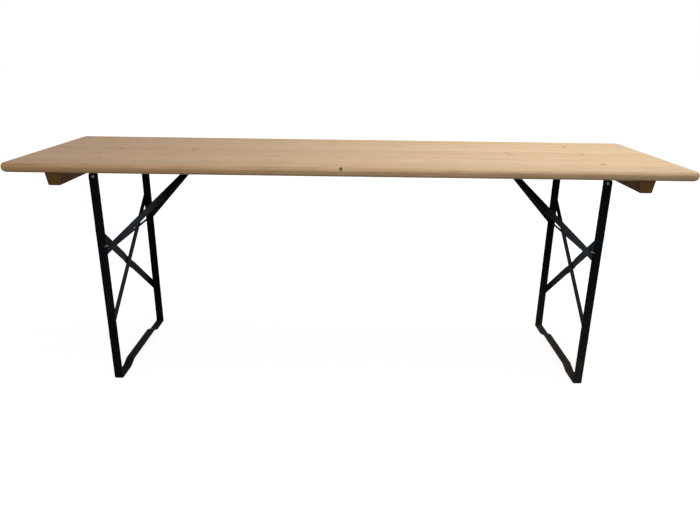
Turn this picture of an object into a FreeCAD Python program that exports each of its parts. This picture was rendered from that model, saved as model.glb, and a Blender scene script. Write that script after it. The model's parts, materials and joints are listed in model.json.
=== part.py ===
"""Folding trestle table for beer tents and halls.

A glued spruce board rests on two folding steel leg frames. Each frame is a pair of angle-iron
legs, joined by a foot bar and two crossed flat braces. It turns on two strap brackets under the
board. A V-shaped stay of two flat arms turns on the frame's cross rod; its apex pin snaps into
a catch under the board and holds the frame upright. Folded flat, the cross rod itself drops
into the same catch. Straps and catches hang on bolts whose heads are flush in the board's top.

Frame: +X along the board, +Y across it to the rear, +Z up, origin on the floor under the
middle of the board. Sizes are millimetres.
"""
import FreeCAD, Part
import Sketcher
import math
import os
import re

SIZES = {
    # board
    "top_length": 2200, "top_width": 700, "top_thickness": 30, "table_height": 780,
    "corner_radius": 25, "edge_round": 11,
    # cross battens under the board's ends
    "batten_x": 944, "batten_wide": 53, "batten_narrow": 38, "batten_height": 43.5,
    "batten_length": 640, "batten_bevel": 2.5, "batten_screw_pitch": 240,
    # folding axis, and where the frame's two face flanges are across the table
    "hinge_x": 833, "hinge_drop": 20, "frame_mid": -13.5, "frame_half": 268.5,
    # angle-iron legs
    "angle_width": 30, "angle_thick": 3, "root_round": 2, "flange_cut": 11,
    # foot bar
    "bar_thick": 4, "bar_rise": 13, "pad_length": 93, "joggle_run": 43, "bar_bend": 8,
    "bar_cut": 25, "bar_corner": 3,
    # crossed braces
    "brace_width": 30, "brace_thick": 3, "brace_low": 165, "brace_high": 545,
    "brace_span": 267, "brace_end": 14, "brace_corner": 8, "crossing_half": 34,
    "crossing_ramp": 20,
    # stays
    "stay_reach": 264, "stay_width": 20, "stay_thick": 4, "stay_gap": 0.3, "stay_tab": 17,
    "apex_tab": 19, "apex_gap": 0.4, "stay_bend": 6,
    # round parts
    "rod_radius": 4, "tenon_radius": 3.4, "rod_head": 6.5, "head_thick": 2.4, "turn_fit": 0.1,
    "rivet_radius": 3, "rivet_head": 5.5, "stop_radius": 2.5, "stop_head": 4, "stop_in": 11,
    "stop_stand": 6,
    "washer_radius": 7, "washer_thick": 2, "apex_pin_half": 19,
    # hinge brackets: straps that overlap in the middle of the board
    "bracket_thick": 3, "bracket_width": 28, "bracket_gap": 0.4, "bracket_bend": 2.5,
    "bracket_corner": 5, "lap_half": 15, "lap_ramp": 6,
    # catches
    "catch_thick": 3, "cheek_gap": 9, "seat_radius": 4.8, "cheek_back": 14, "cheek_lip": 13,
    "cheek_depth": 12, "catch_half": 30, "catch_corner": 5, "hook_corner": 3,
    # latch springs
    "leaf_thick": 1.4, "leaf_half": 18, "leaf_slot": 13, "leaf_slot_end": 15,
    "leaf_screw_in": 36, "leaf_screw_out": 10,
    # bolts through the board
    "bolt_radius": 3, "bolt_head": 8, "bolt_head_thick": 2.6, "bolt_flush": 0.2,
    "bolt_end": 2, "nut_radius": 5.8, "nut_thick": 5, "bracket_bolt_out": 215,
    "catch_bolt_out": 19,
    # wood screws
    "screw_radius": 2, "screw_head": 4, "screw_head_thick": 1.8, "screw_fit": 0.15,
    "screw_bite": 18, "batten_sink": 8, "sink_radius": 5.5,
}

SIDES = {"left": -1, "right": 1}
ENDS = {"front": -1, "rear": 1}
# Small fasteners and the holes that they fill are prisms with this many sides.
FASTENER_SIDES = 8
NUT_SIDES = 6
# What is pressed on the round apex pin is many-sided, and its bore just clears the pin.
PIN_SIDES = 12
PIN_SPREAD = f"({1 / math.cos(math.pi / PIN_SIDES):.6f})"
PIN_BORE = f"rod_radius * 1.001 * {PIN_SPREAD}"

document = FreeCAD.newDocument("TrestleTable")
sheet = document.addObject("Spreadsheet::Sheet", "Sizes")
for row, (size_name, size) in enumerate(SIZES.items(), start=1):
    sheet.set(f"A{row}", size_name)
    sheet.set(f"B{row}", str(size))
    sheet.setAlias(f"B{row}", size_name)
document.recompute()

# Heights and places that several pieces share, as formulas of the sheet's cells.
UNDERSIDE = "(table_height - top_thickness)"
HINGE_Z = f"({UNDERSIDE} - hinge_drop)"
ROD_Z = f"({HINGE_Z} - stay_reach)"
CATCH_X = "(hinge_x - stay_reach)"
LEG_OUTER = "(hinge_x + angle_width / 2)"
# The stop rivet stands just clear of the upper edge of a stay that rises at 45 degrees.
STOP_Z = f"({ROD_Z} + stop_in + (stay_width / 2 + stop_radius + stay_gap) * sqrt(2))"

pieces = []


# ---------------------------------------------------------------- drawing helpers

def linked(formula):
    """The formula with each cell's alias written so that any object can read it."""
    names = "|".join(sorted(SIZES, key=len, reverse=True))
    return re.sub(rf"\b({names})\b", r"Sizes.\1", formula)


def value(formula):
    """What a formula of the sheet's cells comes to, in millimetres."""
    result = sheet.evalExpression(str(formula))
    return float(getattr(result, "Value", result))


def piece(label, x="0", y="0", z="0", tilt=0):
    """A new sub-part at x, y, z. tilt turns it about the table's -Y axis, in degrees."""
    body = document.addObject("PartDesign::Body", label)
    body.Label = label
    body.AllowCompound = True
    body.Placement = FreeCAD.Placement(
        FreeCAD.Vector(), FreeCAD.Rotation(FreeCAD.Vector(0, -1, 0), tilt))
    for axis, place in zip("xyz", (x, y, z)):
        body.setExpression(f"Placement.Base.{axis}", linked(place))
    pieces.append(body)
    return body


def sketch_on(body, plane, level):
    """A sketch on one of the sub-part's own planes, moved to a level along its third axis."""
    origin_plane = next(o for o in body.Origin.OriginFeatures if o.Role == f"{plane}_Plane")
    sketch = body.newObject("Sketcher::SketchObject", f"{body.Name}_sketch")
    sketch.AttachmentSupport = (origin_plane, [""])
    sketch.MapMode = "FlatFace"
    facing = "-" if plane == "XZ" else ""
    sketch.setExpression("AttachmentOffset.Base.z", linked(f"{facing}({level})"))
    return sketch


def fix(sketch, element, point, place):
    """Hold one point of a sketch's element at a place given by two formulas."""
    for kind, formula in zip(("DistanceX", "DistanceY"), place):
        held = sketch.addConstraint(
            Sketcher.Constraint(kind, -1, 1, element, point, value(formula)))
        sketch.setExpression(f"Constraints[{held}]", linked(str(formula)))


def outline(points):
    """A closed outline of straight lines through the points."""
    def draw(sketch):
        ends = [FreeCAD.Vector(value(a), value(b), 0) for a, b in points]
        first = sketch.GeometryCount
        count = len(points)
        for i in range(count):
            sketch.addGeometry(Part.LineSegment(ends[i], ends[(i + 1) % count]), False)
        for i in range(count):
            following = first + (i + 1) % count
            sketch.addConstraint(Sketcher.Constraint("Coincident", first + i, 2, following, 1))
        for i, place in enumerate(points):
            fix(sketch, first + i, 1, place)
    return draw


def rectangle(low_a, high_a, low_b, high_b):
    return outline([(low_a, low_b), (high_a, low_b), (high_a, high_b), (low_a, high_b)])


def circles(radius, centres):
    """Equal circles at several centres."""
    def draw(sketch):
        for centre in centres:
            middle = FreeCAD.Vector(value(centre[0]), value(centre[1]), 0)
            ring = sketch.addGeometry(
                Part.Circle(middle, FreeCAD.Vector(0, 0, 1), value(radius)), False)
            fix(sketch, ring, 3, centre)
            held = sketch.addConstraint(Sketcher.Constraint("Radius", ring, value(radius)))
            sketch.setExpression(f"Constraints[{held}]", linked(radius))
    return draw


def prisms(radius, centres, sides=FASTENER_SIDES):
    """Equal regular polygons at several centres."""
    def draw(sketch):
        for a, b in centres:
            corners = []
            for k in range(sides):
                turn = 2 * math.pi * (k + 0.5) / sides
                corners.append((f"{a} + ({radius}) * ({math.cos(turn):.6f})",
                                f"{b} + ({radius}) * ({math.sin(turn):.6f})"))
            outline(corners)(sketch)
    return draw


def strip(path, thick):
    """Outline of a flat strip seen edge on: its face runs along the path, and its thickness
    lies to the right of it. Corners are mitred."""
    corners = [(value(a), value(b)) for a, b in path]
    headings = []
    for (a0, b0), (a1, b1) in zip(corners, corners[1:]):
        run = math.hypot(a1 - a0, b1 - b0)
        headings.append(((b1 - b0) / run, -(a1 - a0) / run))
    back_face = []
    for i, (a, b) in enumerate(path):
        before = headings[max(i - 1, 0)]
        after = headings[min(i, len(headings) - 1)]
        spread = 1 + before[0] * after[0] + before[1] * after[1]
        shift = [(before[k] + after[k]) / spread for k in (0, 1)]
        back_face.append((f"{a} + {thick} * ({shift[0]:.6f})", f"{b} + {thick} * ({shift[1]:.6f})"))
    return outline(list(path) + back_face[::-1])


def add(body, plane, level, depth, draw):
    """Material from a level, as far as depth in the axis's positive direction."""
    sketch = sketch_on(body, plane, level)
    draw(sketch)
    pad = body.newObject("PartDesign::Pad", f"{body.Name}_pad")
    pad.Profile = sketch
    pad.setExpression("Length", linked(str(depth)))
    pad.Reversed = plane == "XZ"
    document.recompute()
    return pad


def cut(body, plane, level, depth, draw):
    """Take material away from a level, as far as depth in the axis's positive direction."""
    volume = body.Shape.Volume
    sketch = sketch_on(body, plane, level)
    draw(sketch)
    pocket = body.newObject("PartDesign::Pocket", f"{body.Name}_pocket")
    pocket.Profile = sketch
    pocket.setExpression("Length", linked(str(depth)))
    pocket.Reversed = plane != "XZ"
    document.recompute()
    if body.Shape.Volume >= volume:
        raise RuntimeError(f"a cut in {body.Label} removes nothing")
    return pocket


def dress(body, kind, size, wanted):
    """A fillet or a chamfer on the edges of the sub-part's last feature that the test picks."""
    base = body.Tip
    names = [f"Edge{i}" for i, edge in enumerate(base.Shape.Edges, start=1) if wanted(edge)]
    if not names:
        raise RuntimeError(f"no edge to dress on {body.Label}")
    feature = body.newObject(f"PartDesign::{kind}", f"{body.Name}_{kind.lower()}")
    feature.Base = (base, names)
    feature.setExpression("Radius" if kind == "Fillet" else "Size", linked(str(size)))
    document.recompute()
    return feature


def soften(body, radius, wanted):
    return dress(body, "Fillet", radius, wanted)


def bevel(body, size, wanted):
    return dress(body, "Chamfer", size, wanted)


def runs_along(edge, axis):
    """Whether a straight edge is parallel to X (0), Y (1) or Z (2)."""
    if not isinstance(edge.Curve, Part.Line):
        return False
    return abs(abs(edge.Curve.Direction[axis]) - 1) < 1e-6


def near(number, formula):
    return abs(number - value(formula)) < 1e-3


def wood_screws(label, centres, head_face):
    """Pan-head screws that go up into the board from a face under it. Each is its own solid."""
    body = piece(label)
    depth = f"({UNDERSIDE} - {head_face} + screw_bite)"
    add(body, "XY", f"{head_face} - screw_head_thick", "screw_head_thick",
        prisms("screw_head", centres))
    add(body, "XY", head_face, depth, prisms("screw_radius", centres))


def through_bolts(body, centres, seat):
    """Bolts through the board, each with its nut run tight on the seat under it."""
    head = "(bolt_flush + bolt_head_thick)"
    add(body, "XY", f"table_height - {head}", "bolt_head_thick", prisms("bolt_head", centres))
    add(body, "XY", f"{seat} - nut_thick", "nut_thick",
        prisms("nut_radius", centres, NUT_SIDES))
    low = f"({seat} - nut_thick - bolt_end)"
    add(body, "XY", low, f"table_height - {head} - {low}", prisms("bolt_radius", centres))


# ---------------------------------------------------------------- places of bolts and screws

def batten_screw_places(side):
    return [(f"{side} * batten_x", f"({k}) * batten_screw_pitch") for k in (-1, 0, 1)]


def bracket_bolt_places(side):
    return [(f"{side} * hinge_x", f"({row}) * bracket_bolt_out") for row in (-1, 0, 1)]


def catch_bolt_places(side):
    return [(f"{side} * {CATCH_X}", f"({row}) * catch_bolt_out") for row in (-1, 1)]


def leaf_screw_places(side):
    return [(f"{side} * ({CATCH_X} - leaf_screw_in)", f"({row}) * leaf_screw_out")
            for row in (-1, 1)]


# ---------------------------------------------------------------- wooden pieces

def table_top():
    """Board with rounded plan corners and a bull-nosed edge. It is drilled through for the
    bolts, with a sunk seat for each head, and has blind holes for the wood screws."""
    body = piece("table_top", z=UNDERSIDE)
    add(body, "XY", "0", "top_thickness",
        rectangle("-top_length / 2", "top_length / 2", "-top_width / 2", "top_width / 2"))
    soften(body, "corner_radius", lambda edge: runs_along(edge, 2))
    soften(body, "edge_round",
           lambda edge: near(edge.CenterOfMass.z, "0") or near(edge.CenterOfMass.z, "top_thickness"))
    for side in SIDES.values():
        pilots = batten_screw_places(side) + leaf_screw_places(side)
        cut(body, "XY", "0", "screw_bite + 1", prisms("screw_radius + screw_fit", pilots))
        bolts = bracket_bolt_places(side) + catch_bolt_places(side)
        cut(body, "XY", "0", "top_thickness", prisms("bolt_radius + screw_fit", bolts))
        seat = "(bolt_flush + bolt_head_thick)"
        cut(body, "XY", f"top_thickness - {seat}", seat, prisms("bolt_head + screw_fit", bolts))


def batten(name, side):
    """Cross batten with sloping flanks, screwed up into the board from sunk holes."""
    body = piece(f"batten_{name}", x=f"{side} * batten_x", z=f"{UNDERSIDE} - batten_height")
    flanks = [("-batten_narrow / 2", "0"), ("batten_narrow / 2", "0"),
              ("batten_wide / 2", "batten_height"), ("-batten_wide / 2", "batten_height")]
    add(body, "XZ", "-batten_length / 2", "batten_length", outline(flanks))
    bevel(body, "batten_bevel", lambda edge: near(edge.CenterOfMass.z, "0"))
    rows = [("0", f"({k}) * batten_screw_pitch") for k in (-1, 0, 1)]
    cut(body, "XY", "0", "batten_height", prisms("screw_radius + screw_fit", rows))
    cut(body, "XY", "0", "batten_sink", prisms("sink_radius", rows))
    wood_screws(f"batten_screws_{name}", batten_screw_places(side),
                f"({UNDERSIDE} - batten_height + batten_sink)")


# ---------------------------------------------------------------- fittings under the board

def hinge_bracket(name, side, end_name, end):
    """Strap under the board, folded down beside the leg's face flange into a lug. It reaches to
    the middle of the board, where the rear strap is joggled under the front one."""
    body = piece(f"hinge_bracket_{end_name}_{name}", x=f"{side} * hinge_x", y="frame_mid",
                 z=HINGE_Z)
    face = f"({end}) * (frame_half - angle_thick - bracket_gap)"
    middle = "(-frame_mid)"
    tip = f"{middle} - ({end}) * lap_half"
    path = [(face, "0"), (face, "hinge_drop")]
    if end > 0:
        path += [(f"{middle} + lap_half + lap_ramp + 1", "hinge_drop"),
                 (f"{middle} + lap_half + 1", "hinge_drop - bracket_thick"),
                 (tip, "hinge_drop - bracket_thick")]
    else:
        path.append((tip, "hinge_drop"))
    thickness = "bracket_thick" if end < 0 else "(-bracket_thick)"
    add(body, "YZ", "-bracket_width / 2", "bracket_width", strip(path, thickness))
    bevel(body, "bracket_corner", lambda edge: runs_along(edge, 2)
          and near(edge.CenterOfMass.y, tip))
    soften(body, "bracket_bend", lambda edge: runs_along(edge, 0)
           and near(edge.CenterOfMass.z, "hinge_drop - bracket_thick")
           and near(edge.CenterOfMass.y, f"{face} - ({end}) * bracket_thick"))
    lug_low = face if end < 0 else f"{face} - bracket_thick"
    add(body, "XZ", lug_low, "bracket_thick", circles("bracket_width / 2", [("0", "0")]))
    cut(body, "XZ", lug_low, "bracket_thick", circles("rod_radius + turn_fit", [("0", "0")]))
    bolts = [("0", f"{middle} + ({row}) * bracket_bolt_out") for row in (0, end)]
    cut(body, "XY", "hinge_drop - 2 * bracket_thick", "2 * bracket_thick",
        prisms("bolt_radius + screw_fit", bolts))


def bracket_screws(name, side):
    """Three bolts of a frame's straps. The middle one clamps both straps, where they overlap."""
    body = piece(f"bracket_screws_{name}")
    front, shared, rear = bracket_bolt_places(side)
    through_bolts(body, [front, rear], f"({UNDERSIDE} - bracket_thick)")
    through_bolts(body, [shared], f"({UNDERSIDE} - 2 * bracket_thick)")


def catch(name, side):
    """Catch plate with two hooked cheeks. The pin's seat is open inwards and downwards."""
    body = piece(f"catch_{name}", x=f"{side} * {CATCH_X}", z=HINGE_Z)
    inward = f"({-side})"
    ceiling = "(hinge_drop - catch_thick)"
    add(body, "XY", ceiling, "catch_thick",
        rectangle("-cheek_back", "cheek_back", "-catch_half", "catch_half"))
    bevel(body, "catch_corner", lambda edge: runs_along(edge, 2))
    hook = [(f"{inward} * -cheek_back", ceiling), (f"{inward} * -cheek_back", "-cheek_depth"),
            (f"{inward} * -seat_radius", "-cheek_depth"), (f"{inward} * -seat_radius", "seat_radius"),
            (f"{inward} * cheek_lip", "seat_radius"), (f"{inward} * cheek_lip", ceiling)]
    for low in ("-(cheek_gap + catch_thick)", "cheek_gap"):
        add(body, "XZ", low, "catch_thick", outline(hook))
    soften(body, "seat_radius - 0.3", lambda edge: runs_along(edge, 1)
           and near(edge.CenterOfMass.z, "seat_radius")
           and near(edge.CenterOfMass.x, f"{inward} * -seat_radius"))
    bevel(body, "hook_corner", lambda edge: runs_along(edge, 1)
          and near(edge.CenterOfMass.z, "-cheek_depth"))
    bolts = [("0", f"({row}) * catch_bolt_out") for row in (-1, 1)]
    cut(body, "XY", ceiling, "catch_thick", prisms("bolt_radius + screw_fit", bolts))
    through_bolts(piece(f"catch_screws_{name}"), catch_bolt_places(side),
                  f"({UNDERSIDE} - catch_thick)")


def latch_spring(name, side):
    """Leaf spring that reaches from the board to a forked lip under the pin in its seat."""
    body = piece(f"latch_spring_{name}", x=f"{side} * {CATCH_X}", z=HINGE_Z)
    inward = -side
    # Upper face, from the screwed end down to the lip that holds the pin: (inwards, upwards).
    upper_face = [(48, "hinge_drop"), (20, "hinge_drop"), (9, "4"), (4.8, "-3.4"), (-1, "-5.2")]
    path = [(f"({inward}) * ({reach})", height) for reach, height in upper_face]
    if inward > 0:
        leaf = strip(path[::-1], "leaf_thick")
    else:
        leaf = strip(path[::-1], "(-leaf_thick)")
    add(body, "XZ", "-leaf_half", "2 * leaf_half", leaf)
    slot = [f"({inward}) * -6", f"({inward}) * leaf_slot_end"]
    cut(body, "XY", "-cheek_depth", "cheek_depth + hinge_drop",
        rectangle(slot[0], slot[1], "-leaf_slot", "leaf_slot"))
    screws = [(f"({inward}) * leaf_screw_in", f"({row}) * leaf_screw_out") for row in (-1, 1)]
    cut(body, "XY", "0", "hinge_drop", prisms("screw_radius + screw_fit", screws))
    wood_screws(f"spring_screws_{name}", leaf_screw_places(side),
                f"({UNDERSIDE} - leaf_thick)")


# ---------------------------------------------------------------- leg frame

def leg(name, side, end_name, end):
    """Angle-iron leg: a face flange across the table's end, rounded about the hinge, and an
    outer flange that stops short of it, so that the leg can fold flat under the board."""
    body = piece(f"leg_{end_name}_{name}", x=f"{side} * hinge_x", y="frame_mid")
    face_low = "-frame_half" if end < 0 else "(frame_half - angle_thick)"
    half = "angle_width / 2"
    add(body, "XZ", face_low, "angle_thick",
        rectangle(f"-{half}", half, "bar_thick", HINGE_Z))
    add(body, "XZ", face_low, "angle_thick", circles(half, [("0", HINGE_Z)]))
    outer_low = f"{half} - angle_thick" if side > 0 else f"-{half}"
    outer_high = f"{half}" if side > 0 else f"-{half} + angle_thick"
    add(body, "XY", "bar_thick", f"{HINGE_Z} - flange_cut - bar_thick",
        rectangle(outer_low, outer_high, face_low, f"{face_low} + angle_width"))
    root_x = f"({side}) * ({half} - angle_thick)"
    soften(body, "root_round", lambda edge: runs_along(edge, 2)
           and near(edge.CenterOfMass.x, root_x)
           and near(edge.CenterOfMass.y, f"{face_low} + angle_thick"))
    cut(body, "XZ", face_low, "angle_thick",
        prisms("tenon_radius", [("0", HINGE_Z), ("0", ROD_Z)]))
    stop_x = f"({-side}) * stop_in"
    cut(body, "XZ", face_low, "angle_thick", prisms("stop_radius", [(stop_x, STOP_Z)]))
    flange_middle = f"({end}) * brace_span - frame_mid"
    cut(body, "YZ", outer_low, "angle_thick",
        prisms("rivet_radius", [(flange_middle, "brace_low"), (flange_middle, "brace_high")]))


def foot_bar(name, side):
    """Flat foot bar: it lies on the floor under each leg and is joggled up between them. Its
    rear end runs on under the leg's outer flange, with the inner corner cut off."""
    body = piece(f"foot_bar_{name}", x=f"{side} * hinge_x", y="frame_mid")
    rear_end = "frame_half + angle_width - angle_thick"
    top = [("-frame_half", "bar_thick"), ("-(frame_half - pad_length)", "bar_thick"),
           ("-(frame_half - pad_length - joggle_run)", "bar_thick + bar_rise"),
           ("frame_half - pad_length - joggle_run", "bar_thick + bar_rise"),
           ("frame_half - pad_length", "bar_thick"), (rear_end, "bar_thick")]
    add(body, "YZ", "-angle_width / 2", "angle_width", strip(top, "bar_thick"))
    soften(body, "bar_bend", lambda edge: runs_along(edge, 0)
           and abs(edge.CenterOfMass.y) < value("frame_half - 1"))
    bevel(body, "bar_cut", lambda edge: runs_along(edge, 2) and edge.CenterOfMass.y > 0
          and near(edge.CenterOfMass.x, f"({-side}) * angle_width / 2"))
    bevel(body, "bar_corner", lambda edge: runs_along(edge, 2)
          and (edge.CenterOfMass.y < 0 or near(edge.CenterOfMass.x, f"({side}) * angle_width / 2")))


def cross_brace(name, side, label, joggled):
    """Flat diagonal brace, riveted to the legs' outer flanges. One of the pair is joggled
    outwards where it passes over the other."""
    body = piece(f"{label}_{name}", x=f"{side} * {LEG_OUTER}", z="(brace_low + brace_high) / 2")
    rise = value("(brace_high - brace_low) / 2")
    run = value("brace_span")
    slope = math.degrees(math.atan2(rise, run))
    body.Placement.Rotation = FreeCAD.Rotation(
        FreeCAD.Vector(1, 0, 0), -slope if joggled else slope)
    reach = f"{math.hypot(rise, run):.6f}"
    tip = f"({reach} + brace_end)"
    face = [("0", f"-{tip}"), ("0", tip)]
    if joggled:
        lift = f"({side}) * brace_thick"
        face[1:1] = [("0", "-(crossing_half + crossing_ramp)"), (lift, "-crossing_half"),
                     (lift, "crossing_half"), ("0", "crossing_half + crossing_ramp")]
    thickness = "brace_thick" if side > 0 else "(-brace_thick)"
    add(body, "XY", "-brace_width / 2", "brace_width", strip(face, thickness))
    bevel(body, "brace_corner", lambda edge: runs_along(edge, 0)
          and near(abs(edge.CenterOfMass.y), tip))
    # The holes are wide enough for a rivet that is turned against the slanting brace.
    hole = f"rivet_radius * {1.01 / math.cos(math.pi / FASTENER_SIDES):.6f}"
    low = "0" if side > 0 else "-2 * brace_thick"
    cut(body, "YZ", low, "2 * brace_thick",
        prisms(hole, [(f"-{reach}", "0"), ("0", "0"), (reach, "0")]))


def brace_rivets(name, side):
    """Five rivets: one at each end of both braces, and one through the crossing."""
    body = piece(f"brace_rivets_{name}", x=f"{side} * {LEG_OUTER}")
    corners = [(f"({row}) * brace_span", height)
               for row in (-1, 1) for height in ("brace_low", "brace_high")]
    crossing = [("0", "(brace_low + brace_high) / 2")]
    for centres, inner, outer in ((corners, "-angle_thick", "brace_thick"),
                                  (crossing, "0", "2 * brace_thick")):
        low = inner if side > 0 else f"-({outer})"
        high = outer if side > 0 else f"-({inner})"
        add(body, "YZ", low, f"({high}) - ({low})", prisms("rivet_radius", centres))
        add(body, "YZ", f"({low}) - head_thick", "head_thick", prisms("rivet_head", centres))
        add(body, "YZ", high, "head_thick", prisms("rivet_head", centres))


def outward(end, near_face, far_face):
    """Lower level and depth of what lies between two distances from the frame's middle."""
    low = near_face if end > 0 else f"-({far_face})"
    return low, f"({far_face}) - ({near_face})"


def cross_rod(name, side):
    """Round rod between the face flanges, with a riveted tenon through each of them.
    The stay turns on it."""
    body = piece(f"cross_rod_{name}", x=f"{side} * hinge_x", y="frame_mid", z=ROD_Z)
    shoulder = "(frame_half - angle_thick)"
    centre = [("0", "0")]
    add(body, "XZ", f"-{shoulder}", f"2 * {shoulder}", circles("rod_radius", centre))
    for end in ENDS.values():
        add(body, "XZ", *outward(end, shoulder, "frame_half"), prisms("tenon_radius", centre))
        add(body, "XZ", *outward(end, "frame_half", "frame_half + head_thick"),
            prisms("rod_head", centre))


def hinge_rivets(name, side):
    """Two rivets. Each is fixed in its leg's face flange, and its round shank turns in the
    bracket's lug."""
    body = piece(f"hinge_rivets_{name}", x=f"{side} * hinge_x", y="frame_mid", z=HINGE_Z)
    shoulder = "(frame_half - angle_thick)"
    lug_back = f"({shoulder} - bracket_gap - bracket_thick - stay_gap)"
    centre = [("0", "0")]
    for end in ENDS.values():
        add(body, "XZ", *outward(end, f"{lug_back} - head_thick", lug_back),
            prisms("rod_head", centre))
        add(body, "XZ", *outward(end, lug_back, shoulder), circles("rod_radius", centre))
        add(body, "XZ", *outward(end, shoulder, "frame_half"), prisms("tenon_radius", centre))
        add(body, "XZ", *outward(end, "frame_half", "frame_half + head_thick"),
            prisms("rod_head", centre))


def stop_rivets(name, side):
    """Two stop rivets, whose plain ends stand inside the face flanges and stop the stay."""
    body = piece(f"stop_rivets_{name}", x=f"{side} * (hinge_x - stop_in)", y="frame_mid",
                 z=STOP_Z)
    centre = [("0", "0")]
    for end in ENDS.values():
        add(body, "XZ", *outward(end, "frame_half - angle_thick - stop_stand", "frame_half"),
            prisms("stop_radius", centre))
        add(body, "XZ", *outward(end, "frame_half", "frame_half + head_thick"),
            prisms("stop_head", centre))


# ---------------------------------------------------------------- stay

def stay_arm(name, side, end_name, end):
    """Flat arm on edge. Its lower tab turns on the cross rod inside the leg's face flange;
    it slants to the middle and ends in a tab beside the other arm's, on the apex pin."""
    body = piece(f"stay_arm_{end_name}_{name}", x=f"{side} * hinge_x", y="frame_mid", z=ROD_Z,
                 tilt=45 if side < 0 else 135)
    length = "stay_reach * sqrt(2)"
    outer = f"({end}) * (frame_half - angle_thick - stay_gap)"
    inner = f"({end}) * (apex_gap / 2 + stay_thick) - frame_mid"
    path = [("0", outer), ("stay_tab", outer), (f"{length} - apex_tab", inner), (length, inner)]
    thickness = "stay_thick" if end > 0 else "(-stay_thick)"
    add(body, "XY", "-stay_width / 2", "stay_width", strip(path, thickness))
    soften(body, "stay_bend", lambda edge: runs_along(edge, 2)
           and 1 < edge.CenterOfMass.x < value(length) - 1)
    low = outer if end < 0 else f"{outer} - stay_thick"
    add(body, "XZ", low, "stay_thick", circles("stay_width / 2", [("0", "0")]))
    cut(body, "XZ", f"{low} - 1", "stay_thick + 2",
        circles("rod_radius + turn_fit", [("0", "0")]))
    low = inner if end < 0 else f"{inner} - stay_thick"
    apex = [(length, "0")]
    add(body, "XZ", low, "stay_thick", prisms(f"stay_width / 2 * {PIN_SPREAD}", apex, PIN_SIDES))
    cut(body, "XZ", f"{low} - 1", "stay_thick + 2", prisms(PIN_BORE, apex, PIN_SIDES))


def apex_pin(name, side):
    """Pin through both apex tabs, which reaches past the catch's cheeks."""
    body = piece(f"apex_pin_{name}", x=f"{side} * {CATCH_X}", z=HINGE_Z)
    add(body, "XZ", "-apex_pin_half", "2 * apex_pin_half", circles("rod_radius", [("0", "0")]))


def apex_washers(name, side):
    """Two washers pressed on the apex pin, one outside each tab."""
    body = piece(f"apex_washers_{name}", x=f"{side} * {CATCH_X}", z=HINGE_Z)
    tab_face = "apex_gap / 2 + stay_thick"
    centre = [("0", "0")]
    for end in ENDS.values():
        level, depth = outward(end, tab_face, f"{tab_face} + washer_thick")
        add(body, "XZ", level, depth, prisms("washer_radius", centre, PIN_SIDES))
        cut(body, "XZ", level, depth, prisms(PIN_BORE, centre, PIN_SIDES))


# ---------------------------------------------------------------- the whole table

table_top()
for side_name, side_sign in SIDES.items():
    batten(side_name, side_sign)
    for end_name, end_sign in ENDS.items():
        hinge_bracket(side_name, side_sign, end_name, end_sign)
        leg(side_name, side_sign, end_name, end_sign)
        stay_arm(side_name, side_sign, end_name, end_sign)
    bracket_screws(side_name, side_sign)
    catch(side_name, side_sign)
    latch_spring(side_name, side_sign)
    foot_bar(side_name, side_sign)
    cross_brace(side_name, side_sign, "cross_brace_outer", True)
    cross_brace(side_name, side_sign, "cross_brace_inner", False)
    brace_rivets(side_name, side_sign)
    cross_rod(side_name, side_sign)
    hinge_rivets(side_name, side_sign)
    stop_rivets(side_name, side_sign)
    apex_pin(side_name, side_sign)
    apex_washers(side_name, side_sign)

document.recompute()
failed = [item.Name for item in document.Objects if {"Invalid", "Error"} & set(item.State)]
failed += [body.Label for body in pieces if body.Shape.isNull() or not body.Shape.isValid()]
if failed:
    raise RuntimeError("failed: " + ", ".join(failed))

os.makedirs("parts", exist_ok=True)
for body in pieces:
    body.Shape.exportStep(f"parts/{body.Label}.step")
    box = body.Shape.BoundBox
    print(f"{body.Label}: {len(body.Shape.Solids)} solid(s), x {box.XMin:.1f}..{box.XMax:.1f},"
          f" y {box.YMin:.1f}..{box.YMax:.1f}, z {box.ZMin:.1f}..{box.ZMax:.1f}")
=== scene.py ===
# %% [markdown]
# # A folding trestle table
#
# This is the long table of beer tents and village halls: a lacquered spruce board on two
# folding frames of angle iron. The frames, stays and fittings come from the CAD model, so this
# script only loads them and gives them their finishes. It models anew what a plain solid can't
# show well: the board with its soft edge, the turned rods, rivets, bolts and screws, and the
# weld beads at the legs' feet.
#
# Everything is in metres. X runs along the board, Y runs to the rear, Z is up, and the origin
# is on the floor under the middle of the board.

# %% Load the frame
import json
import math
import random

import bmesh
import bpy
from mathutils import Matrix, Vector


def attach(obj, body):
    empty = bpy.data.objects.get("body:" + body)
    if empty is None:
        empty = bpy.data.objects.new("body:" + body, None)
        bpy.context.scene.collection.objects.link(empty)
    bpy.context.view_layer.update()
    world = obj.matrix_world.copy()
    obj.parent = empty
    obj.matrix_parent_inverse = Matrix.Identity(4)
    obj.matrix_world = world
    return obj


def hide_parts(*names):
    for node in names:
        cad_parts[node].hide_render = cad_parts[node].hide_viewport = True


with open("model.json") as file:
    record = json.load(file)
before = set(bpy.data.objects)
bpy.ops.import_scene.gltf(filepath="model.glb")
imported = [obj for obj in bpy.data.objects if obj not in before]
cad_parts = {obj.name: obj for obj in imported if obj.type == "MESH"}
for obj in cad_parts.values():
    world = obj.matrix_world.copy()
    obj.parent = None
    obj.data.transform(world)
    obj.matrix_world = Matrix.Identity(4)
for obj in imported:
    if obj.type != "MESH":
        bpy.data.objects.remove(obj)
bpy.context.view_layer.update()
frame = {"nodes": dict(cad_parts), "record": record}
nodes = frame["nodes"]

# %% [markdown]
# ## Camera
#
# The table is seen from the front, a little above the board, from about two and a half metres
# away. A camera could be aimed at a target by a constraint, but a tilt, a turn and a small roll
# written as three angles say exactly where it looks. The shift slides the picture up without
# turning the camera.

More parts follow.
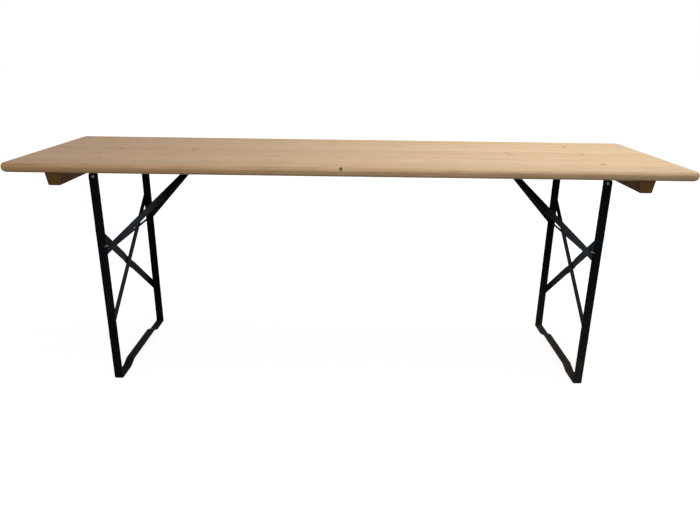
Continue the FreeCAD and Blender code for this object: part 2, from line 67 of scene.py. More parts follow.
# %% Place the camera
def place_in_scene(name, data):
    """A new object in the scene that holds a mesh, a lamp or a camera."""
    made = bpy.data.objects.new(name, data)
    bpy.context.scene.collection.objects.link(made)
    return made


EYE = Vector((0.00623, -2.38693, 1.11953))
YAW = -0.00488
PITCH_DOWN = 0.36585
ROLL = 0.01459

camera_data = bpy.data.cameras.new("camera")
camera_data.sensor_width = 36.0
camera_data.lens = 33.461
camera_data.shift_x = -0.00609
camera_data.shift_y = 0.05751
camera = place_in_scene("camera", camera_data)
turn = (Matrix.Rotation(YAW, 4, "Z") @ Matrix.Rotation(math.pi / 2 - PITCH_DOWN, 4, "X")
        @ Matrix.Rotation(ROLL, 4, "Z"))
camera.matrix_world = Matrix.Translation(EYE) @ turn
bpy.context.scene.camera = camera
bpy.context.scene.view_settings.view_transform = "Standard"
print("camera at", EYE, "with a", camera_data.lens, "mm lens")

# %% [markdown]
# ## Small helpers for materials
#
# A material is a graph of nodes. Adding a node, setting its values and linking its inputs takes
# three or four lines each time, so one helper does it. It takes a number, a colour or another
# node's output for each input; a colour is written as red, green and blue, and is opaque. The
# other helpers are built on it, one for each kind of node that comes up often.

# %% Helpers that add nodes
ORIGIN = (0.0, 0.0, 0.0)


def add_node(tree, kind, inputs=None, **settings):
    """Add one node. inputs maps a socket's name or number to a value, or to what feeds it."""
    node = tree.nodes.new(kind)
    for name, setting in settings.items():
        setattr(node, name, setting)
    for key, given in (inputs or {}).items():
        socket = node.inputs[key]
        if isinstance(given, bpy.types.NodeSocket):
            tree.links.new(given, socket)
        elif socket.type == "RGBA":
            socket.default_value = (*given, 1.0)
        else:
            socket.default_value = given
    return node


def calc(tree, operation, a, b=0.0, c=0.0, clamp=False):
    """A Math node's result."""
    return add_node(tree, "ShaderNodeMath", {0: a, 1: b, 2: c}, operation=operation,
                    use_clamp=clamp).outputs[0]


def product(tree, value, *factors):
    """A value times one or more others."""
    for factor in factors:
        value = calc(tree, "MULTIPLY", value, factor)
    return value


def vector_calc(tree, operation, a, b=ORIGIN):
    """A Vector Math node's outputs."""
    return add_node(tree, "ShaderNodeVectorMath", {0: a, 1: b}, operation=operation).outputs


def split(tree, vector):
    """A vector's X, Y and Z."""
    return add_node(tree, "ShaderNodeSeparateXYZ", {0: vector}).outputs


def object_place(tree):
    """Where a point lies, in the table's own metres."""
    return add_node(tree, "ShaderNodeTexCoord").outputs["Object"]


def blend_colours(tree, amount, first, second, how="MIX"):
    """A Mix node for colours: first where amount is 0, second where it is 1."""
    return add_node(tree, "ShaderNodeMix", {0: amount, 6: first, 7: second}, data_type="RGBA",
                    blend_type=how).outputs[2]


def lay_over(tree, colour, *layers, how="MIX"):
    """A colour with others laid over it in turn, each as much as its own mask says."""
    for mask, over in layers:
        colour = blend_colours(tree, mask, colour, over, how)
    return colour


def ramp(tree, value, low, high, to_low=0.0, to_high=1.0):
    """Stretch a range of values to another one, held at its ends."""
    return add_node(tree, "ShaderNodeMapRange",
                    {0: value, 1: low, 2: high, 3: to_low, 4: to_high}).outputs[0]


def stretch(tree, where, scale=(1.0, 1.0, 1.0), turn_z=0.0, shift=ORIGIN):
    """Coordinates turned about Z, moved and scaled by a Mapping node."""
    return add_node(tree, "ShaderNodeMapping",
                    {"Vector": where, "Location": shift, "Rotation": (0.0, 0.0, turn_z),
                     "Scale": scale}).outputs[0]


def noise(tree, where, scale, detail=3.0, rough=0.5):
    """A Noise Texture's value, drawn out where there is a scale for each axis."""
    if isinstance(scale, tuple):
        where, scale = stretch(tree, where, scale), 1.0
    return add_node(tree, "ShaderNodeTexNoise",
                    {"Vector": where, "Scale": scale, "Detail": detail,
                     "Roughness": rough}).outputs["Fac"]


def tell(name, tree):
    """Print how many nodes a finish or a group has."""
    print(f"{name}: {len(tree.nodes)} nodes")


def feed(tree, inputs, **links):
    """Link outputs to inputs by name, with _ for a space."""
    for socket_name, source in links.items():
        tree.links.new(source, inputs[socket_name.replace("_", " ")])


# %% Helpers that start and place a node group
def start_group(name, inputs, **outputs):
    """A shader node group: its inputs' names and defaults, and its outputs' names and kinds."""
    tree = bpy.data.node_groups.new(name, "ShaderNodeTree")
    for socket_name, default in inputs.items():
        kind = "Float" if isinstance(default, float) else "Vector"
        socket = tree.interface.new_socket(socket_name, in_out="INPUT",
                                           socket_type=f"NodeSocket{kind}")
        socket.default_value = default
    for socket_name, kind in outputs.items():
        tree.interface.new_socket(socket_name.replace("_", " "), in_out="OUTPUT",
                                  socket_type=f"NodeSocket{kind}")
    entry = tree.nodes.new("NodeGroupInput")
    result = tree.nodes.new("NodeGroupOutput")
    return tree, entry.outputs, result.inputs


def use_group(tree, name, inputs=None):
    """Place a group in a material and return its outputs."""
    return add_node(tree, "ShaderNodeGroup", inputs, node_tree=bpy.data.node_groups[name]).outputs


# %% [markdown]
# ## Wood figure
#
# The board is glued from seven staves, each sawn from its own place in a trunk. A striped
# texture would look like wallpaper at the ends. Instead, each point's distance from the pith, a
# line along the stave, gives its growth ring, so the same formula draws long lines on the
# faces and arcs on the end grain. A random number for each stave moves the pith and the tone.

# %% Build the wood figure group
def draw_lots(tree, number):
    """Random outputs, Value and Color, that are always the same for the same number."""
    return add_node(tree, "ShaderNodeTexWhiteNoise", {"W": number}, noise_dimensions="1D").outputs


tree, given, result = start_group(
    "wood_figure", {"Vector": ORIGIN, "Stave Width": 0.1, "Ring Width": 0.004, "Push": 0.0},
    Rings="Float", Fibre="Float", Tone="Float", Glue_Line="Float")
axes = split(tree, given["Vector"])
across = calc(tree, "ADD", calc(tree, "DIVIDE", axes["Y"], given["Stave Width"]), 0.5)
stave = calc(tree, "FLOOR", across)
lots = draw_lots(tree, calc(tree, "ADD", stave, 7.3))["Color"]
lots = add_node(tree, "ShaderNodeSeparateColor", {0: lots}).outputs
in_stave = calc(tree, "SUBTRACT", calc(tree, "FRACT", across), 0.5)
local_y = product(tree, in_stave, given["Stave Width"])
pith_y = ramp(tree, lots[0], 0.0, 1.0, -0.09, 0.09)
pith_z = ramp(tree, lots[1], 0.0, 1.0, -0.17, -0.05)
apart = add_node(tree, "ShaderNodeCombineXYZ", {"X": product(tree, lots[2], 40.0),
                                                "Y": product(tree, stave, 3.1)}).outputs[0]
own = vector_calc(tree, "ADD", given["Vector"], apart)[0]
sway = calc(tree, "SUBTRACT", noise(tree, own, (0.9, 5.0, 5.0), 2.0), 0.5)
sway = calc(tree, "MULTIPLY_ADD", sway, 0.055, given["Push"])
off_y = calc(tree, "ADD", calc(tree, "SUBTRACT", local_y, pith_y), sway)
off_z = calc(tree, "SUBTRACT", axes["Z"], pith_z)
reach = calc(tree, "SQRT", calc(tree, "ADD", product(tree, off_y, off_y),
                                product(tree, off_z, off_z)))
ring = calc(tree, "DIVIDE", reach, given["Ring Width"])
late = calc(tree, "POWER", calc(tree, "FRACT", ring), 3.0)
year = draw_lots(tree, calc(tree, "FLOOR", ring))["Value"]
slow = noise(tree, own, (1.2, 22.0, 22.0))
bands = noise(tree, own, (0.8, 75.0, 75.0), 2.0)
tone = calc(tree, "MULTIPLY_ADD", slow, 0.3, product(tree, bands, 0.3))
seam = calc(tree, "ABSOLUTE", in_stave)
feed(tree, result, Rings=product(tree, late, ramp(tree, year, 0.0, 1.0, 0.35, 1.0)),
     Fibre=noise(tree, own, (14.0, 900.0, 900.0), 2.0),
     Tone=calc(tree, "MULTIPLY_ADD", lots[0], 0.4, tone),
     Glue_Line=ramp(tree, seam, 0.495, 0.4985))
tell("wood_figure", tree)

# %% [markdown]
# ## Knots
#
# A knot is a branch that the board was sawn through: a dark oval core with a darker rim, and
# the rings flow round it. One group draws one knot at a given place. Stretch makes it a long
# spike on the faces or a round eye on the edge, and Depth says how dark it is. It also puts out
# how far the rings are pushed aside, which goes into the wood figure's Push.

# %% Build the knot group
tree, given, result = start_group(
    "knot", {"Vector": ORIGIN, "Centre": ORIGIN, "Radius": 0.01, "Stretch": (1.0, 1.0, 1.0),
             "Depth": 1.0}, Core="Float", Rim="Float", Push="Float")
apart = vector_calc(tree, "SUBTRACT", given["Vector"], given["Centre"])[0]
oval = vector_calc(tree, "DIVIDE", apart, given["Stretch"])[0]
span = vector_calc(tree, "LENGTH", oval)["Value"]
rough_edge = noise(tree, apart, (160.0, 260.0, 160.0), 2.0)
far = calc(tree, "ADD", calc(tree, "DIVIDE", span, given["Radius"]),
           calc(tree, "MULTIPLY_ADD", rough_edge, 0.5, -0.25))
core = ramp(tree, far, 0.7, 1.15, 1.0, 0.0)
rim = ramp(tree, calc(tree, "ABSOLUTE", calc(tree, "SUBTRACT", far, 0.95)), 0.1, 0.45, 1.0, 0.0)
fade = calc(tree, "EXPONENT", product(tree, far, far, -0.16))
feed(tree, result, Core=product(tree, core, given["Depth"]),
     Rim=product(tree, rim, given["Depth"]),
     Push=product(tree, split(tree, apart)["Y"], fade, -0.7))
tell("knot", tree)

# %% [markdown]
# ## Wear, dust and rust
#
# Paint goes first where things knock against it: along edges. The Bevel node looks for nearby
# edges by tracing short rays, so it works on the CAD nodes' loose triangles, where pointiness
# would not. Its normal also softens those edges, so that they catch the light as rolled steel
# does. Dust and dirt gather low down, near the floor, most of all on what faces up, and more on
# the right frame than on the left one. Rust starts in spots.

# %% Build the edge wear group
tree, given, result = start_group(
    "edge_wear", {"Reach": 0.001, "Amount": 0.5, "Patch Size": 60.0},
    Mask="Float", Round="Vector")
where = object_place(tree)
rounded = add_node(tree, "ShaderNodeBevel", {"Radius": given["Reach"]}, samples=6).outputs[0]
flat = add_node(tree, "ShaderNodeNewGeometry").outputs["True Normal"]
same = vector_calc(tree, "DOT_PRODUCT", rounded, flat)["Value"]
edge = ramp(tree, same, 0.75, 0.985, 1.0, 0.0)
patch = noise(tree, where, given["Patch Size"], 4.0)
patch = ramp(tree, calc(tree, "ADD", patch, product(tree, given["Amount"], 0.5)), 0.62, 0.78)
feed(tree, result, Mask=product(tree, edge, patch), Round=rounded)
tell("edge_wear", tree)

# %% Build the floor dust group
tree, given, result = start_group("floor_dust", {"Top": 0.3, "Strength": 0.6}, Mask="Float")
where = object_place(tree)
low = ramp(tree, calc(tree, "DIVIDE", split(tree, where)["Z"], given["Top"]), 0.0, 1.0, 1.0, 0.0)
cloud = noise(tree, where, 28.0, 5.0, 0.62)
speck = noise(tree, where, 420.0, 2.0)
up = split(tree, add_node(tree, "ShaderNodeNewGeometry").outputs["Normal"])["Z"]
lying = product(tree, calc(tree, "POWER", low, 1.1), ramp(tree, cloud, 0.3, 0.7, 0.35, 1.0),
                ramp(tree, speck, 0.3, 0.7, 0.6, 1.0),
                ramp(tree, split(tree, where)["X"], -0.85, 0.85, 0.18, 1.15),
                ramp(tree, up, 0.1, 0.9, 0.6, 2.6))
feed(tree, result, Mask=calc(tree, "MULTIPLY", lying, given["Strength"], clamp=True))
tell("floor_dust", tree)

# %% Build the rust group
DARK_RUST = (0.035, 0.012, 0.004)
FRESH_RUST = (0.16, 0.055, 0.018)

tree, given, result = start_group("rust_bloom", {"Spot Size": 45.0, "Amount": 0.2},
                                  Mask="Float", Colour="Color")
where = object_place(tree)
spots = calc(tree, "ADD", noise(tree, where, given["Spot Size"], 6.0, 0.68),
             product(tree, given["Amount"], 0.4))
grit = noise(tree, where, 700.0)
feed(tree, result, Mask=ramp(tree, spots, 0.69, 0.76),
     Colour=blend_colours(tree, grit, DARK_RUST, FRESH_RUST))
tell("rust_bloom", tree)

# %% [markdown]
# ## Paint skin
#
# The frames are dipped in a blue-black enamel, which dries with a faint orange peel and runs
# thick and thin. One group gives the height of that skin, its slow changes of shade and a few
# long scratches, and all painted pieces share it.

# %% Build the paint skin group
tree, given, result = start_group("paint_skin", {"Peel Size": 380.0}, Height="Float",
                                  Shade="Float", Scratch="Float")
where = object_place(tree)
peel = noise(tree, where, given["Peel Size"], 2.0)
runs = noise(tree, where, (60.0, 60.0, 9.0), 2.0)
line = noise(tree, where, (900.0, 900.0, 22.0), 1.0)
feed(tree, result, Height=calc(tree, "MULTIPLY_ADD", runs, 0.6, product(tree, peel, 0.4)),
     Shade=noise(tree, where, 7.0, 4.0),
     Scratch=product(tree, ramp(tree, line, 0.7, 0.76),
                     ramp(tree, noise(tree, where, 11.0, 2.0), 0.5, 0.62)))
tell("paint_skin", tree)


# %% [markdown]
# ## Finishes
#
# Each finish is one material: a Principled shader fed by the groups above. Numbers that are the
# same all over, such as the coat's roughness, are set on the shader itself.

# %% Helpers that start a material
def start_material(name, **sockets):
    """A material with a Principled shader whose plain numbers are set by name."""
    material = bpy.data.materials.new(name)
    material.use_nodes = True
    shader = material.node_tree.nodes["Principled BSDF"]
    for socket_name, number in sockets.items():
        shader.inputs[socket_name.replace("_", " ")].default_value = number
    return material, material.node_tree, shader


def bump(tree, height, distance, strength, **over):
    """A Bump node's normal, over the surface's own one or over Normal, where it is given."""
    return add_node(tree, "ShaderNodeBump", {"Height": height, "Distance": distance,
                                             "Strength": strength, **over}).outputs[0]


# %% [markdown]
# ### Lacquered spruce
#
# The board's clear lacquer has gone warm with age. Each knot has a place, a radius, a stretch
# along the three axes and a depth of colour. The masks of all knots are joined by their
# maximum, so that they can't add up to more than one knot's colour.
#
# Four tints are multiplied or laid over the grain. The wood is redder towards the left end and a
# little mottled, and the rearmost stave is resinous and yellow. At both ends the lacquer has
# soaked into the end grain. The lower half of the edge is darker in patches: painted shade where
# the bull nose faces down. Damp has left faint brown rings round the bolt heads. All four
# quarters of the board have the same bolts, so three of them in mirrored coordinates are enough.

# %% Knots of the board
ON_FACE = (2.4, 0.7, 1.6)
ON_EDGE = (1.0, 2.2, 1.0)
STREAK = (7.0, 1.0, 0.8)
KNOTS = {
    "front_left": ((-0.519, -0.320, 0.780), 0.0040, ON_FACE, 0.60),
    "front_middle": ((-0.226, -0.284, 0.780), 0.0038, ON_FACE, 0.70),
    "front_pale": ((-0.069, -0.250, 0.780), 0.0030, ON_FACE, 0.30),
    "edge_eye": ((-0.032, -0.3495, 0.7758), 0.0046, ON_EDGE, 1.00),
    "edge_streak_left": ((-0.510, -0.347, 0.7790), 0.0020, STREAK, 0.55),
    "edge_streak_right": ((-0.425, -0.347, 0.7788), 0.0022, STREAK, 0.60),
    "edge_right": ((0.461, -0.348, 0.7780), 0.0026, ON_FACE, 0.30),
    "rear_left": ((-0.640, 0.215, 0.780), 0.0050, ON_FACE, 0.55),
    "rear_right": ((0.310, 0.262, 0.780), 0.0045, ON_FACE, 0.45),
    "under_left": ((-0.300, -0.080, 0.750), 0.0085, ON_FACE, 0.75),
    "under_middle": ((0.180, 0.205, 0.750), 0.0060, ON_FACE, 0.60),
    "under_right": ((0.655, 0.120, 0.750), 0.0090, ON_FACE, 0.80),
}
print(len(KNOTS), "knots")

# %% Grain of the board
PALE_WOOD = (0.92, 0.695, 0.447)
DARK_WOOD = (0.69, 0.475, 0.268)
LATE_WOOD = (0.54, 0.315, 0.145)
WOOD_FIBRE = (0.44, 0.260, 0.120)
GLUE = (0.25, 0.14, 0.07)
KNOT_CORE = (0.12, 0.05, 0.016)
KNOT_RIM = (0.05, 0.022, 0.008)

board_finish, tree, shader = start_material(
    "lacquered_board", Specular_IOR_Level=0.03, Coat_Weight=0.06, Coat_Roughness=0.25)
where = object_place(tree)
places = split(tree, where)
core = 0.0
rim = 0.0
push = 0.0
for centre, radius, reach, depth in KNOTS.values():
    knot = use_group(tree, "knot", {"Vector": where, "Centre": centre, "Radius": radius,
                                    "Stretch": reach, "Depth": depth})
    core = calc(tree, "MAXIMUM", knot["Core"], core)
    rim = calc(tree, "MAXIMUM", knot["Rim"], rim)
    push = calc(tree, "ADD", knot["Push"], push)
centred = stretch(tree, where, shift=(0.0, 0.0, -0.765))
figure = use_group(tree, "wood_figure",
                   {"Vector": centred, "Stave Width": 0.1, "Ring Width": 0.0042, "Push": push})
colour = lay_over(tree, blend_colours(tree, figure["Tone"], PALE_WOOD, DARK_WOOD),
                  (product(tree, figure["Rings"], 0.6), LATE_WOOD),
                  (ramp(tree, figure["Fibre"], 0.42, 0.7, 0.0, 0.32), WOOD_FIBRE),
                  (product(tree, figure["Glue Line"], 0.3), GLUE),
                  (product(tree, core, 0.9), KNOT_CORE), (product(tree, rim, 0.75), KNOT_RIM))
tell("grain", tree)

# %% Tints, stains and lacquer of the board
REDDER = (1.0, 0.87, 0.79)
RESINOUS = (1.0, 0.945, 0.80)
MOTTLED = (0.90, 0.87, 0.83)
SOAKED = (0.30, 0.17, 0.08)
SHADED_EDGE = (0.200, 0.120, 0.058)
DAMP = (0.36, 0.20, 0.10)
BOLTS_IN_ONE_QUARTER = ((0.833, 0.0), (0.833, 0.215), (0.569, 0.019))

drift = calc(tree, "MULTIPLY_ADD", noise(tree, where, (1.4, 9.0, 1.0)), 0.8, places["X"])
resin = product(tree, ramp(tree, places["Y"], 0.249, 0.251),
                ramp(tree, drift, -0.2, 0.5, 0.0, 0.9),
                ramp(tree, places["X"], 0.55, 0.85, 1.0, 0.35))
mottle = noise(tree, where, (9.0, 70.0, 30.0), 4.0, 0.6)
colour = lay_over(tree, colour, (ramp(tree, drift, -0.9, 0.9, 1.0, 0.0), REDDER),
                  (resin, RESINOUS), (ramp(tree, mottle, 0.35, 0.7), MOTTLED), how="MULTIPLY")
end_grain = ramp(tree, calc(tree, "ABSOLUTE", places["X"]), 1.094, 1.0995)
# Painted shade: the lower half of the board's edge, where it faces down, is darkened in patches.
edge_shade_patches = noise(tree, where, (3.0, 9.0, 30.0), 4.0)
painted_edge_shade = product(tree, ramp(tree, places["Z"], 0.7505, 0.7665, 1.0, 0.0),
                 ramp(tree, edge_shade_patches, 0.3, 0.7, 0.7, 0.95))
mirrored = vector_calc(tree, "ABSOLUTE", where)[0]
halo = 0.0
for x, y in BOLTS_IN_ONE_QUARTER:
    away = vector_calc(tree, "DISTANCE", mirrored, (x, y, 0.78))["Value"]
    halo = calc(tree, "MAXIMUM", ramp(tree, away, 0.0085, 0.0165, 1.0, 0.0), halo)
patchy = noise(tree, where, (45.0, 110.0, 45.0))
halo = product(tree, halo, ramp(tree, patchy, 0.35, 0.65, 0.1, 0.6))
colour = lay_over(tree, colour, (product(tree, end_grain, 0.4), SOAKED), (painted_edge_shade, SHADED_EDGE),
                  (halo, DAMP))
height = calc(tree, "MULTIPLY_ADD", figure["Rings"], 0.5, product(tree, figure["Fibre"], 0.5))
height = calc(tree, "SUBTRACT", height, figure["Glue Line"])
height = calc(tree, "SUBTRACT", height, product(tree, rim, 1.5))
gloss = ramp(tree, calc(tree, "ADD", figure["Fibre"], noise(tree, where, 9.0)), 0.6, 1.4,
             0.38, 0.55)
feed(tree, shader.inputs, Base_Color=colour, Roughness=gloss,
     Normal=bump(tree, height, 0.00015, 0.5))
tell("lacquered_board", tree)

# %% [markdown]
# ### Batten wood
#
# The battens are plain softwood, thinly lacquered and darkened by handling. Their grain runs
# across the table, so the same wood figure is turned by a Mapping node. Blotches of old stain
# are rougher than the wood between them.

# %% Batten wood
BATTEN_PALE = (0.198, 0.098, 0.031)
BATTEN_DARK = (0.142, 0.067, 0.020)
BATTEN_RINGS = (0.090, 0.040, 0.012)
BATTEN_FIBRE = (0.070, 0.035, 0.014)
OLD_STAIN = (0.054, 0.030, 0.014)
RUBBED_EDGE = (0.25, 0.150, 0.075)

batten_finish, tree, shader = start_material("batten_wood", Specular_IOR_Level=0.03)
where = object_place(tree)
along = stretch(tree, where, turn_z=math.pi / 2, shift=(0.0, 0.0, -0.7))
figure = use_group(tree, "wood_figure",
                   {"Vector": along, "Stave Width": 0.6, "Ring Width": 0.0038})
stain = ramp(tree, noise(tree, where, 14.0, 5.0, 0.6), 0.45, 0.75, 0.0, 0.45)
wear = use_group(tree, "edge_wear", {"Reach": 0.0015, "Amount": 0.5, "Patch Size": 60.0})
colour = lay_over(tree, blend_colours(tree, figure["Tone"], BATTEN_PALE, BATTEN_DARK),
                  (product(tree, figure["Rings"], 0.7), BATTEN_RINGS),
                  (ramp(tree, figure["Fibre"], 0.4, 0.75, 0.0, 0.3), BATTEN_FIBRE),
                  (stain, OLD_STAIN), (product(tree, wear["Mask"], 0.4), RUBBED_EDGE))
height = calc(tree, "MULTIPLY_ADD", figure["Rings"], 0.5, product(tree, figure["Fibre"], 0.5))
feed(tree, shader.inputs, Base_Color=colour, Roughness=ramp(tree, stain, 0.0, 0.45, 0.55, 0.75),
     Normal=bump(tree, height, 0.0003, 0.7, Normal=wear["Round"]))
tell("batten_wood", tree)


# %% [markdown]
# ### Enamel
#
# One function makes the three painted finishes. Along the edges the paint is worn to grey
# steel, rust comes through in spots, and dust lies on what is near the floor. A satin enamel on
# thin steel shows little gloss, so the shader's specular level is low, and a thin coat keeps a
# faint sheen. A slate-blue sheen is painted into the colour on the lower arms of the stays and
# half way down the legs; what hangs close under the board is left black, as painted shade.

# %% Blue-black enamel
SCRATCHED = (0.06, 0.06, 0.062)
WORN_STEEL = (0.10, 0.095, 0.09)
DUST = (0.105, 0.088, 0.068)


def enamel(name, dark, pale, dust_top, dust_strength, wear_amount, rust_amount, sheen_where):
    """Dipped enamel: dark, with a painted sheen colour where sheen_where says, worn at edges,
    dusty below, rusty spots.
    """
    material, tree, shader = start_material(name, Specular_IOR_Level=0.009, Coat_Weight=0.008,
                                            Coat_Roughness=0.3)
    skin = use_group(tree, "paint_skin", {"Peel Size": 380.0})
    wear = use_group(tree, "edge_wear",
                     {"Reach": 0.0012, "Amount": wear_amount, "Patch Size": 70.0})
    dust = use_group(tree, "floor_dust", {"Top": dust_top, "Strength": dust_strength})["Mask"]
    rust = use_group(tree, "rust_bloom", {"Spot Size": 38.0, "Amount": rust_amount})
    # Painted sheen: the second colour is mixed in where the place function says, elsewhere the
    # paint stays dark as painted shade.
    painted_sheen = product(tree, ramp(tree, skin["Shade"], 0.3, 0.6, 0.45, 1.0),
                    sheen_where(tree, *split(tree, object_place(tree))))
    colour = lay_over(tree, blend_colours(tree, painted_sheen, dark, pale),
                      (product(tree, skin["Scratch"], 0.5), SCRATCHED),
                      (product(tree, wear["Mask"], 0.8), WORN_STEEL),
                      (rust["Mask"], rust["Colour"]), (dust, DUST))
    roughness = calc(tree, "MULTIPLY_ADD", skin["Shade"], 0.2, 0.36)
    roughness = calc(tree, "MULTIPLY_ADD", dust, 0.4, roughness)
    roughness = calc(tree, "MULTIPLY_ADD", rust["Mask"], 0.35, roughness, clamp=True)
    height = calc(tree, "SUBTRACT", skin["Height"], product(tree, wear["Mask"], 0.7))
    height = calc(tree, "MULTIPLY_ADD", rust["Mask"], 0.5, height)
    feed(tree, shader.inputs, Base_Color=colour, Roughness=roughness,
         Metallic=product(tree, wear["Mask"], 0.6),
         Normal=bump(tree, height, 0.00012, 0.6, Normal=wear["Round"]))
    tell(name, tree)
    return material


def sheen_on_front_legs(tree, x, y, z):
    """Where the painted sheen lies: half way down the legs, more on the front ones, less at the
    top as painted shade under the board.
    """
    return product(tree, ramp(tree, z, 0.19, 0.27), ramp(tree, z, 0.56, 0.66, 1.0, 0.55),
                   ramp(tree, y, -0.2, 0.2, 1.0, 0.1))


def sheen_on_lower_arms(tree, x, y, z):
    """Where the painted sheen lies: the lower part of a stay's front arm, and a little more of it
    on the left.
    """
    along = calc(tree, "ABSOLUTE", calc(tree, "SUBTRACT", x, 0.015))
    return product(tree, ramp(tree, along, 0.665, 0.725), ramp(tree, y, -0.06, 0.0, 1.0, 0.0))


def everywhere(tree, x, y, z):
    """No place more than another."""
    return 1.0


# Each finish's second colour is a painted sheen, laid on where the function after it says.
frame_finish = enamel("painted_frame", (0.0024, 0.0024, 0.0027), (0.0052, 0.0073, 0.0098),
                      0.36, 0.62, 0.30, 0.08, sheen_on_front_legs)
stay_finish = enamel("painted_stay", (0.0030, 0.0032, 0.0038), (0.041, 0.050, 0.060),
                     0.2, 0.3, 0.30, 0.05, sheen_on_lower_arms)
fitting_finish = enamel("painted_fittings", (0.0050, 0.0062, 0.0080), (0.0080, 0.0092, 0.0110),
                        0.2, 0.3, 0.45, 0.14, everywhere)


# %% [markdown]
# ### Bare and plated steel
#
# Screws, pins, springs and the crowns of the rivets are bare or plated metal. A fine noise
# roughens them, a slow one shifts their tint, and brown stains take away the metal's shine.

# %% Bare and plated steel
POLISHED = (0.55, 0.55, 0.54)


def bare_steel(name, base, tint, rough_low, rough_high, stain_amount):
    """Metal whose colour drifts between two tints, with fine marks and brown stains."""
    material, tree, shader = start_material(name, Specular_IOR_Level=0.5)
    where = object_place(tree)
    drift = noise(tree, where, 60.0, 4.0)
    marks = noise(tree, where, 1600.0, 2.0)
    rust = use_group(tree, "rust_bloom", {"Spot Size": 160.0, "Amount": stain_amount})
    wear = use_group(tree, "edge_wear", {"Reach": 0.0006, "Amount": 0.9,
                                         "Patch Size": 200.0})["Mask"]
    colour = lay_over(tree, blend_colours(tree, ramp(tree, drift, 0.35, 0.65), base, tint),
                      (product(tree, wear, 0.3), POLISHED), (rust["Mask"], rust["Colour"]))
    roughness = calc(tree, "ADD", ramp(tree, marks, 0.3, 0.7, rough_low, rough_high),
                     product(tree, rust["Mask"], 0.3), clamp=True)
    feed(tree, shader.inputs, Base_Color=colour, Roughness=roughness,
         Metallic=ramp(tree, rust["Mask"], 0.0, 1.0, 1.0, 0.1),
         Normal=bump(tree, calc(tree, "ADD", marks, rust["Mask"]), 0.00005, 0.5))
    tell(name, tree)
    return material


zinc_finish = bare_steel("zinc_screws", (0.62, 0.60, 0.55), (0.48, 0.46, 0.40), 0.32, 0.46, 0.25)
bolt_finish = bare_steel("tarnished_bolts", (0.48, 0.30, 0.18), (0.34, 0.20, 0.115), 0.55, 0.72,
                         0.35)
spring_finish = bare_steel("spring_steel", (0.16, 0.16, 0.19), (0.22, 0.18, 0.15), 0.28, 0.42,
                           0.15)
pin_finish = bare_steel("pin_steel", (0.46, 0.46, 0.46), (0.36, 0.35, 0.34), 0.22, 0.38, 0.12)

# %% [markdown]
# ### Rivet heads
#
# The rivets were painted with the frame, and the paint has gone only from the crowns of their
# heads. A crown is where the surface faces straight along the rivet, across the table, so the
# normal's Y part gives the mask: bare steel in the middle, paint round it.

# %% Rivet heads, bare on the crown
RIVET_PAINT = (0.0055, 0.0065, 0.0085)
RIVET_DULL = (0.06, 0.06, 0.062)
RIVET_BRIGHT = (0.15, 0.15, 0.145)

rivet_finish, tree, shader = start_material("riveted_steel", Specular_IOR_Level=0.2)
where = object_place(tree)
facing = split(tree, add_node(tree, "ShaderNodeNewGeometry").outputs["Normal"])["Y"]
chipped = calc(tree, "MULTIPLY_ADD", noise(tree, where, 900.0), 0.12,
               calc(tree, "ABSOLUTE", facing))
crown = ramp(tree, chipped, 0.95, 1.03)
marks = noise(tree, where, 1600.0, 2.0)
steel = blend_colours(tree, marks, RIVET_DULL, RIVET_BRIGHT)
feed(tree, shader.inputs, Base_Color=blend_colours(tree, crown, RIVET_PAINT, steel),
     Metallic=crown, Roughness=ramp(tree, crown, 0.0, 1.0, 0.45, 0.36),
     Normal=bump(tree, calc(tree, "SUBTRACT", marks, crown), 0.00008, 0.5))
tell("riveted_steel", tree)

# %% Give every CAD node its finish
FINISHES = {
    "lacquered_board": board_finish, "batten_wood": batten_finish, "zinc_screws": zinc_finish,
    "tarnished_bolts": bolt_finish, "spring_steel": spring_finish, "painted_frame": frame_finish,
    "painted_stay": stay_finish, "painted_fittings": fitting_finish,
    "riveted_steel": rivet_finish, "pin_steel": pin_finish,
}
for part in frame["record"]["subparts"]:
    mesh = nodes[part["node"]].data
    mesh.materials.clear()
    mesh.materials.append(FINISHES[part["material_slot"]])
print("finished", len(nodes), "CAD nodes")

# %% [markdown]
# ## Making new pieces
#
# A new piece starts as a bmesh, is shaped by operators, and becomes an object at the origin
# with its place in its mesh. It rides on the body of the node that it replaces. Shading is
# smooth where faces meet at a small angle and sharp elsewhere.

# %% Helpers that turn a bmesh into a piece
def mesh_from(shape, name):
    """A mesh of a bmesh, which is freed."""
    mesh = bpy.data.meshes.new(name)
    shape.to_mesh(mesh)
    shape.free()
    return mesh


def add_piece(name, shape, body, slot, replaced=()):
    """Finish a bmesh as a piece on a body, in a finish, in place of some CAD nodes."""
    for edge in shape.edges:
        edge.smooth = edge.is_manifold and edge.calc_face_angle() < math.radians(35.0)
    for face in shape.faces:
        face.smooth = True
    mesh = mesh_from(shape, name)
    mesh.materials.append(FINISHES[slot])
    made = place_in_scene(name, mesh)
    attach(made, body)
    if replaced:
        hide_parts(*replaced)
    print(f"{name}: {len(mesh.polygons)} faces on {body}")
    return made


def apply_modifiers(piece):
    """Make what the modifiers show the piece's own mesh."""
    shown = piece.evaluated_get(bpy.context.evaluated_depsgraph_get())
    finished = bpy.data.meshes.new_from_object(shown)
    piece.modifiers.clear()
    piece.data = finished
    print(f"{piece.name}: {len(finished.polygons)} faces after its modifiers")


# %% [markdown]
# ## Board
#
# The board has rounded corners and a bull-nosed edge all round. A Bevel modifier could round
# everything at once, but the corners and the edge have different radii, so the upright edges
# are bevelled first and the two rims after them. The ten bolt heads sit in shallow round
# seats, cut by one Boolean modifier.

# %% Shape the board
BOARD_TOP = 0.780
BOARD_SIZE = (2.2, 0.7, 0.03)
CORNER = 0.025
BULL_NOSE = 0.014

